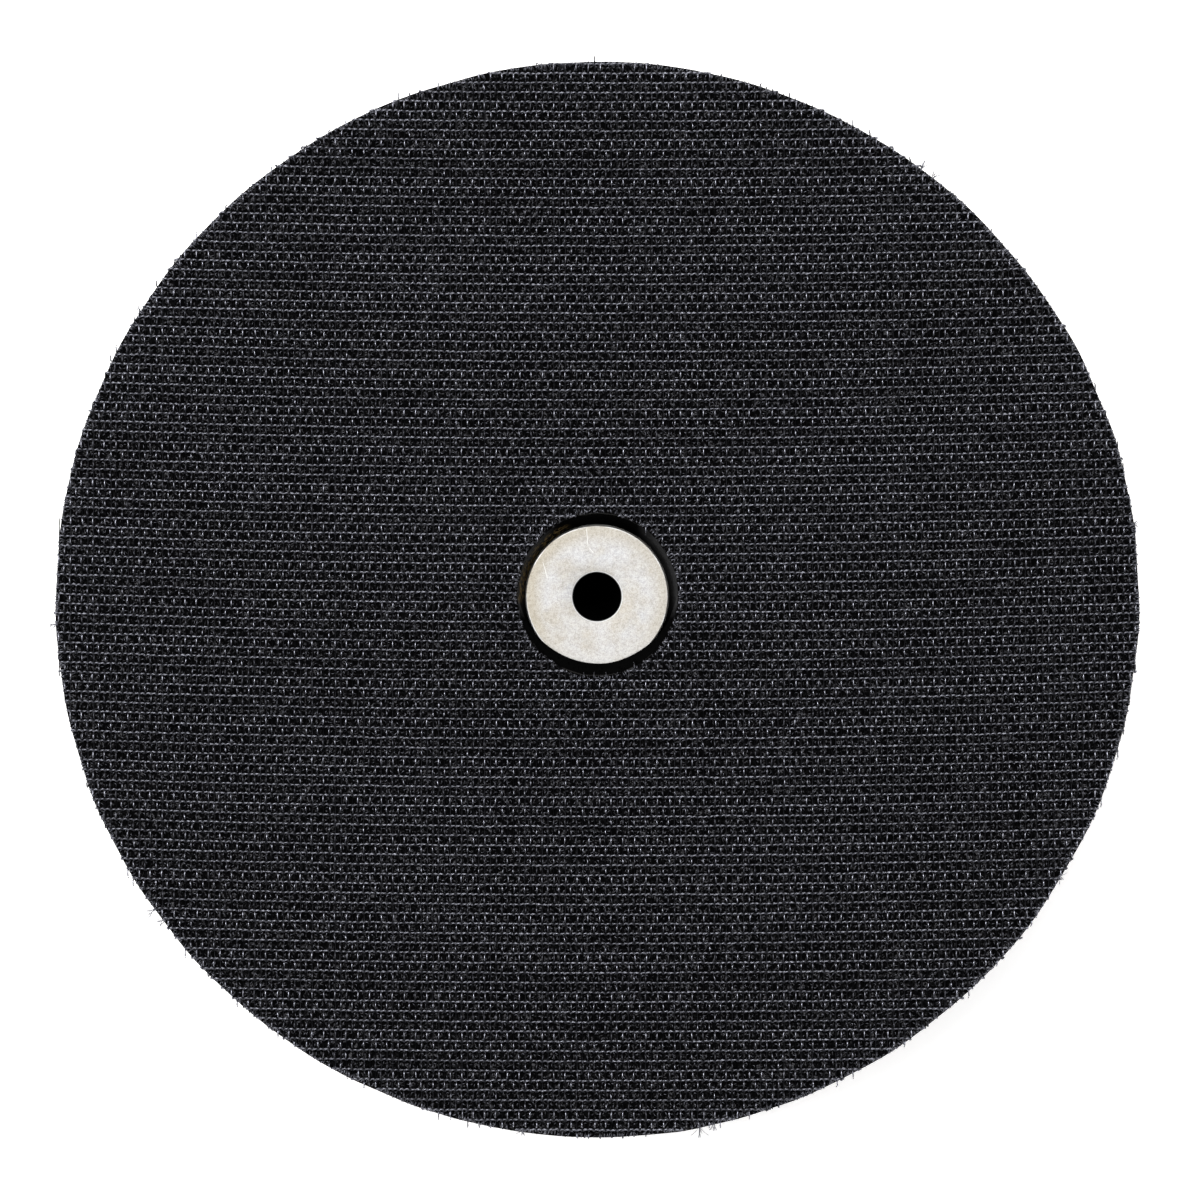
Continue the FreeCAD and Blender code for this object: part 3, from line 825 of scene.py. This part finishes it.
def cut_ends(materials):
    """Ends of ground yarn along the die's cut, all round the rim and the hole."""
    strands = Strands()
    draw = np.random.default_rng(17)
    edges = [(rim_radius, DISC_CENTRE, -1, CUT_ENDS_AT_RIM), (hole_radius, HOLE_CENTRE, 1, CUT_ENDS_AT_HOLE)]
    for edge, centre, inward, count in edges:
        theta = draw.uniform(0, TURN, count)
        cut = edge(theta)
        root = cut + inward * draw.uniform(0.35, 0.95, count)
        end = cut + inward * draw.uniform(0.02, 0.35, count)
        drift = draw.normal(0, 0.22, count) / cut
        root_height, end_height = draw.uniform(0.2, 0.4, count), draw.uniform(0.2, 0.65, count)
        t = np.linspace(0, 1, 4)[None]
        radius = root[:, None] * (1 - t) + end[:, None] * t
        place = theta[:, None] + drift[:, None] * (t - 1)
        arch = 0.18 * np.sin(math.pi * t)
        height = FABRIC_BASE + root_height[:, None] * (1 - t) + end_height[:, None] * t + arch
        x = centre[0] + radius * np.cos(place)
        y = centre[1] + radius * np.sin(place)
        thickness = draw.uniform(0.045, 0.07, count)
        shade = draw.integers(len(materials), size=count)
        strands.add(np.stack([x, y, height], axis=-1), thickness, 4, (0, 0, 1), shade)
    return strands.piece("cut_ends", materials)


def ground_sheet(material):
    """The fabric's ground, a closed thin sheet with its cut edges."""
    segments = 900
    theta = angles(segments)
    hole = hole_radius(theta) + 0.02
    rim = rim_radius(theta) - 0.12
    outwards = np.linspace(0, 1, 9)
    rings, shifts = [], []
    for height, shares in ((FABRIC_BASE + GROUND_THICKNESS, outwards), (FABRIC_BASE, outwards[::-1])):
        for share in shares:
            radius = hole * (1 - share) + rim * share
            rings.append(np.stack([radius, np.full(segments, height)], axis=-1))
            shifts.append(HOLE_CENTRE * (1 - share) + DISC_CENTRE * share)
    points, quads = turned(np.array(rings), np.array(shifts))
    return new_piece("hook_fabric_ground", points, quads, [material], smooth=False)


def hook_fabric():
    ground = ground_sheet(ground_cloth())
    yarns = [
        nylon("yarn_satin", grey=0.0045, roughness=0.36, ior=1.84),
        nylon("yarn_soft", grey=0.0045, roughness=0.40, ior=1.77),
        nylon("yarn_deep", grey=0.0035, roughness=0.38, ior=1.66),
    ]
    # Warp ends get darker, duller copies of the yarn's nylon: painted shade for yarn that lies low between
    # the picks.
    dull = [
        nylon("warp_satin_painted_shade", grey=0.002, roughness=0.46, ior=1.5, shine=0.16),
        nylon("warp_deep_painted_shade", grey=0.001, roughness=0.50, ior=1.5, shine=0.05),
    ]
    filaments = [
        nylon("hook_clear", grey=0.0035, roughness=0.26, ior=2.10),
        nylon("hook_satin", grey=0.003, roughness=0.32, ior=1.82),
        nylon("hook_dull", grey=0.0025, roughness=0.44, ior=1.5, shine=0.7),
    ]
    on_it = weft_rows(yarns) + warp_ends(dull) + hook_rows(filaments)
    on_it += ground_loops(yarns[1:]) + [frayed_ends([yarns[1]]), cut_ends(yarns)]
    for piece in [ground, *on_it]:
        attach(piece, "root")
    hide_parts("hook_fabric")


# ---------------------------------------------------------------- foam and film

# How far the foam's lip leans over the hub's nose on its -Y side, from the hole's wall.
LIP = 1.55


def foam_pad():
    """Moulded foam: tapered edge, slightly uneven skin, and a lip that leans over the hub's lower edge."""
    pocket = radii("foam_cushion", CLAMP_BASE - 0.01, CLAMP_BASE + 0.01)[0]
    pocket_top = min(v.co.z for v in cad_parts["foam_cushion"].data.vertices
                     if math.hypot(v.co.x, v.co.y) < (pocket - 1) * MM) / MM
    plate = radii("front_plate")[1]
    base = radii("foam_cushion", FRONT_PLATE_BASE - 0.01, FRONT_PLATE_BASE + 0.01)[1]
    waist = NOSE_RADIUS + 0.15
    rim_bottom = FOAM_TOP - 4.0
    segments = 640
    theta = angles(segments)
    corners = [
        (pocket, CLAMP_BASE, 0), (pocket, pocket_top, 0.3), (waist, pocket_top, 0.4),
        (FACE_HOLE - 0.10, NOSE_TOP + 0.08, 0), (FACE_HOLE - 0.03, FOAM_TOP - 0.10, 0),
        (FACE_HOLE, FOAM_TOP, 0), (PAD_RADIUS - 0.25, FOAM_TOP, 0.4),
        (PAD_RADIUS - 0.25, rim_bottom, 2.5), (base + 0.5, FRONT_PLATE_BASE, 0.9),
        (plate, FRONT_PLATE_BASE, 0.12), (plate, CLAMP_BASE, 0),
    ]
    profile = outline(corners, 1.5, 7)
    rings = plain_rings(profile, segments)
    shift = np.zeros((len(profile), 2))
    wall = (profile[:, 0] < FACE_HOLE + 0.3) & (profile[:, 1] > pocket_top - 0.01)
    depth = (FOAM_TOP - profile[:, 1]) / (FOAM_TOP - pocket_top)
    shift[wall] = HOLE_CENTRE * (1 - 0.9 * depth[wall, None])
    outer = profile[:, 0] > plate + 0.3
    shift[outer] = DISC_CENTRE
    draw = np.random.default_rng(21)
    swell = waves(theta, seed=22, amplitude=0.10, lowest=2, highest=12)
    for i in np.flatnonzero(outer):
        grain = waves(theta, int(draw.integers(1 << 30)), amplitude=0.012, lowest=60, highest=120)
        rings[i, :, 0] += swell + grain
    uneven = waves(theta, seed=23, amplitude=0.06, lowest=2, highest=9)
    lip = np.clip(-np.sin(theta), 0, 1) ** 0.85
    for i in np.flatnonzero(wall):
        rings[i, :, 0] += uneven * np.clip(1.2 - depth[i], 0, 1)
        if NOSE_TOP < profile[i, 1] < FOAM_TOP - 0.05:
            rings[i, :, 0] -= LIP * lip
    points, quads = turned(rings, shift)
    piece = new_piece("foam_pad", points, quads, [foam_skin()])
    stand_for(piece, "foam_cushion", "foam")


def film_disc():
    """Hot-melt film, squeezed out unevenly at the edges."""
    segments = 720
    theta = angles(segments)
    bottom, top = low("bonding_film"), high("bonding_film")
    hole = FACE_HOLE + 0.05 + waves(theta, seed=31, amplitude=0.05, lowest=4, highest=30)
    rim = PAD_RADIUS - 0.15 + waves(theta, seed=32, amplitude=0.07, lowest=5, highest=60)
    flat = [(hole, bottom), (hole, top), (rim, top), (rim, bottom)]
    rings = np.array([np.stack([r, np.full(segments, z)], axis=-1) for r, z in flat])
    shifts = np.array([HOLE_CENTRE, HOLE_CENTRE, DISC_CENTRE, DISC_CENTRE])
    points, quads = turned(rings, shifts)
    piece = new_piece("film_disc", points, quads, [bonding_film()], smooth=False)
    stand_for(piece, "bonding_film", "bonding_film")


# ---------------------------------------------------------------- riveted core

def plate(name, node, slot, material, edge, segments=360):
    """A flat ring in the place of a CAD plate, with its edges broken."""
    inner, outer = radii(node)
    bottom, top = low(node), high(node)
    profile = outline([(inner, bottom, 0), (inner, top, 0), (outer, top, edge), (outer, bottom, edge)], 4, 4)
    points, quads = turned(plain_rings(profile, segments))
    piece = new_piece(name, points, quads, [material])
    shade_by_angle(piece)
    stand_for(piece, node, slot)


def shade_by_angle(piece, degrees=35):
    """Smooth shading that keeps edges sharper than the angle."""
    piece.data.set_sharp_from_angle(angle=math.radians(degrees))


def core():
    laminate = glass_fibre()
    zinc = plated_steel("zinc_steel", (0.62, 0.62, 0.61), (0.60, 0.56, 0.47), 0.34)
    plate("front_plate_laminate", "front_plate", "glass_fibre", laminate, 0.12, 480)
    plate("rear_plate_laminate", "rear_plate", "glass_fibre", laminate, 0.12, 480)
    plate("flange_steel", "flange_plate", "zinc_steel", zinc, 0.4)
    plate("clamp_steel", "clamp_ring", "zinc_steel", zinc, 0.3)


RIVET_COUNT = 8


def rivets():
    """Solid rivets with domed heads at the back, each set a little differently."""
    nearest, furthest = radii("rivets")
    circle, head = (nearest + furthest) / 2, (furthest - nearest) / 2
    shank = 0.54 * head
    bottom, top = low("rivets"), high("rivets")
    segments = 48
    draw = np.random.default_rng(41)
    points, quads = [], []
    for k in range(RIVET_COUNT):
        around = TURN * k / RIVET_COUNT
        size = head * (1 - abs(draw.normal(0, 0.012)))
        dent = draw.uniform(0.03, 0.09)
        dome = [(size * math.sin(t), FLANGE_BASE - 0.25 - (FLANGE_BASE - bottom - 0.25) * math.cos(t) ** 1.3)
                for t in np.radians(np.linspace(18, 90, 12))]
        crater = [(share * size, bottom + left * dent)
                  for share, left in ((0.0, 1.0), (0.12, 0.8), (0.24, 0.15))]
        rest = [(size, FLANGE_BASE), (shank, FLANGE_BASE), (shank, CLAMP_TOP), (size, CLAMP_TOP),
                (size, CLAMP_TOP + 0.5), (size - 0.15, top - 0.15), (size - 0.5, top), (0.0, top)]
        body, faces = turned(plain_rings(crater + dome + rest, segments), closed=False)
        tilt = draw.normal(0, 0.006, 2)
        body[:, 2] += (body[:, :2] @ tilt) * (body[:, 2] < FLANGE_BASE - 0.01)
        body[:, 0] += circle * math.cos(around)
        body[:, 1] += circle * math.sin(around)
        quads.append(faces + sum(len(p) for p in points))
        points.append(body)
    steel = plated_steel("rivet_steel", (0.56, 0.56, 0.55), (0.50, 0.47, 0.41), 0.40)
    piece = new_piece("rivet_set", np.concatenate(points), np.concatenate(quads), [steel], weld=True)
    shade_by_angle(piece)
    stand_for(piece, "rivets", "rivet_steel")


# ---------------------------------------------------------------- hub

THREAD_PITCH = 1.25
THREAD_MAJOR = 4.0


def thread_rings(bore, top, bottom, theta):
    """Rings down a right-hand M8 thread, from the nose to the seat."""
    rings = []
    for z in np.arange(top, bottom, -THREAD_PITCH / 16):
        phase = np.mod(z / THREAD_PITCH - theta / TURN, 1)
        flank = np.clip(1.25 - np.abs(phase - 0.5) * 2.9, 0, 1)
        ends = min(1.0, (top - z) / 1.0, (z - bottom) / 0.3)
        rings.append(np.stack([bore + (THREAD_MAJOR - bore) * flank * max(ends, 0),
                               np.full(len(theta), z)], axis=-1))
    return rings


def hub():
    """Hexagon with turned corners, pressed body, nose, and the thread cut right through."""
    segments = 216
    theta = angles(segments)
    flat_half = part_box("hub")[1].y / MM
    hexagon = flat_half / np.cos(np.mod(theta, TURN / 6) - TURN / 12)
    face = 0.982 * flat_half
    corner_slope = math.tan(math.radians(30))
    body = radii("flange_plate")[0]
    bore = radii("hub")[0]
    lead_in = radii("hub", SEAT - 0.01, SEAT + 0.01)[0]

    def ring(radius, z):
        shape = np.broadcast_to(np.asarray(radius, float), (segments,))
        return np.stack([shape, np.broadcast_to(np.asarray(z, float), (segments,))], axis=-1)

    chamfer = SEAT + np.maximum(hexagon - face, 0) * corner_slope
    rings = [
        ring(lead_in, SEAT + 0.03), ring(lead_in + 0.06, SEAT), ring(face - 0.10, SEAT),
        ring(np.minimum(face + 0.05, hexagon), SEAT + 0.02),
        ring(hexagon - 0.04, chamfer - 0.01), ring(hexagon, chamfer + 0.05),
        ring(hexagon, FLANGE_BASE - 0.12), ring(hexagon - 0.12, FLANGE_BASE),
        ring(body, FLANGE_BASE), ring(body, CLAMP_TOP), ring(NOSE_RADIUS, CLAMP_TOP),
    ]
    edge = 0.14
    rings += [ring(NOSE_RADIUS - edge + edge * math.cos(t), NOSE_TOP - edge + edge * math.sin(t))
              for t in np.radians(np.linspace(0, 90, 7))]
    rings += [ring(NOSE_RADIUS * share, NOSE_TOP) for share in (0.9, 0.75, 0.6)]
    rings += [ring(bore + out, NOSE_TOP - down)
              for out, down in ((0.24, 0.0), (0.20, 0.02), (0.06, 0.14), (0.0, 0.22))]
    thread_bottom = SEAT + lead_in - bore
    rings += thread_rings(bore, NOSE_TOP - 0.30, thread_bottom + 0.1, theta)
    rings += [ring(bore, thread_bottom), ring((bore + lead_in) / 2, SEAT + (lead_in - bore) / 2)]
    points, quads = turned(np.array(rings[::-1]))
    piece = new_piece("hub_body", points, quads, [hub_steel()])
    shade_by_angle(piece, 28)
    stand_for(piece, "hub", "hub_steel")


# ---------------------------------------------------------------- studio

# The pad fills nine tenths of the picture's width.
VIEW_WIDTH = 2 * PAD_RADIUS / 0.9
CAMERA_HEIGHT = 1000.0
AIM = np.array([0.42, -0.47])
SENSOR = 36.0


def camera():
    """Straight down on the hook face, from far enough that nothing looks tapered."""
    data = bpy.data.cameras.new("camera")
    data.sensor_width = SENSOR
    data.lens = SENSOR * CAMERA_HEIGHT / VIEW_WIDTH
    data.clip_start, data.clip_end = 0.05, 20
    eye = bpy.data.objects.new("camera", data)
    eye.location = Vector((AIM[0], AIM[1], FACE + CAMERA_HEIGHT)) * MM
    bpy.context.scene.collection.objects.link(eye)
    bpy.context.scene.camera = eye


def softbox(name, tilt, towards, size, radiance, distance):
    """A square area light that faces the pad, tilt degrees off its axis towards an angle from +X.
    radiance is what it shows, whatever its size. Size and distance are in metres."""
    data = bpy.data.lights.new(name, "AREA")
    data.size = size
    data.energy = math.pi * size * size * radiance
    lamp = bpy.data.objects.new(name, data)
    tilt, towards = math.radians(tilt), math.radians(towards)
    aim = Vector((math.sin(tilt) * math.cos(towards), math.sin(tilt) * math.sin(towards), math.cos(tilt)))
    lamp.location = aim * distance
    lamp.rotation_euler = aim.to_track_quat("Z", "Y").to_euler()
    bpy.context.scene.collection.objects.link(lamp)


FLOOR_REACH = 3000.0


def studio():
    """Four softboxes round the pad, a sky that is white at the horizon and dark overhead, and the floor."""
    softbox("softbox_left", tilt=29, towards=170, size=0.42, radiance=9.6, distance=0.75)
    softbox("softbox_right", tilt=29, towards=4, size=0.70, radiance=3.2, distance=1.25)
    softbox("softbox_back", tilt=27, towards=96, size=0.56, radiance=8.2, distance=1.0)
    softbox("softbox_front", tilt=30, towards=268, size=0.70, radiance=1.8, distance=1.25)
    world = bpy.data.worlds.new("studio")
    world.use_nodes = True
    nodes, links = world.node_tree.nodes, world.node_tree.links
    where = nodes.new("ShaderNodeTexCoord")
    split = nodes.new("ShaderNodeSeparateXYZ")
    ramp = nodes.new("ShaderNodeMapRange")
    for key, value in (("From Min", 0.05), ("From Max", 0.35), ("To Min", 1.0), ("To Max", 0.06)):
        ramp.inputs[key].default_value = value
    links.new(where.outputs["Generated"], split.inputs[0])
    links.new(split.outputs["Z"], ramp.inputs["Value"])
    links.new(ramp.outputs[0], nodes["Background"].inputs["Strength"])
    nodes["Background"].inputs["Color"].default_value = (0.97, 0.98, 1.0, 1)
    bpy.context.scene.world = world
    bpy.context.scene.view_settings.view_transform = "Standard"

    corners = [(x * FLOOR_REACH, y * FLOOR_REACH, 0) for x, y in ((-1, -1), (1, -1), (1, 1), (-1, 1))]
    floor = new_piece("floor", corners, [(0, 1, 2, 3)], [light_table()], smooth=False)


camera()
hook_fabric()
foam_pad()
film_disc()
core()
rivets()
hub()
studio()
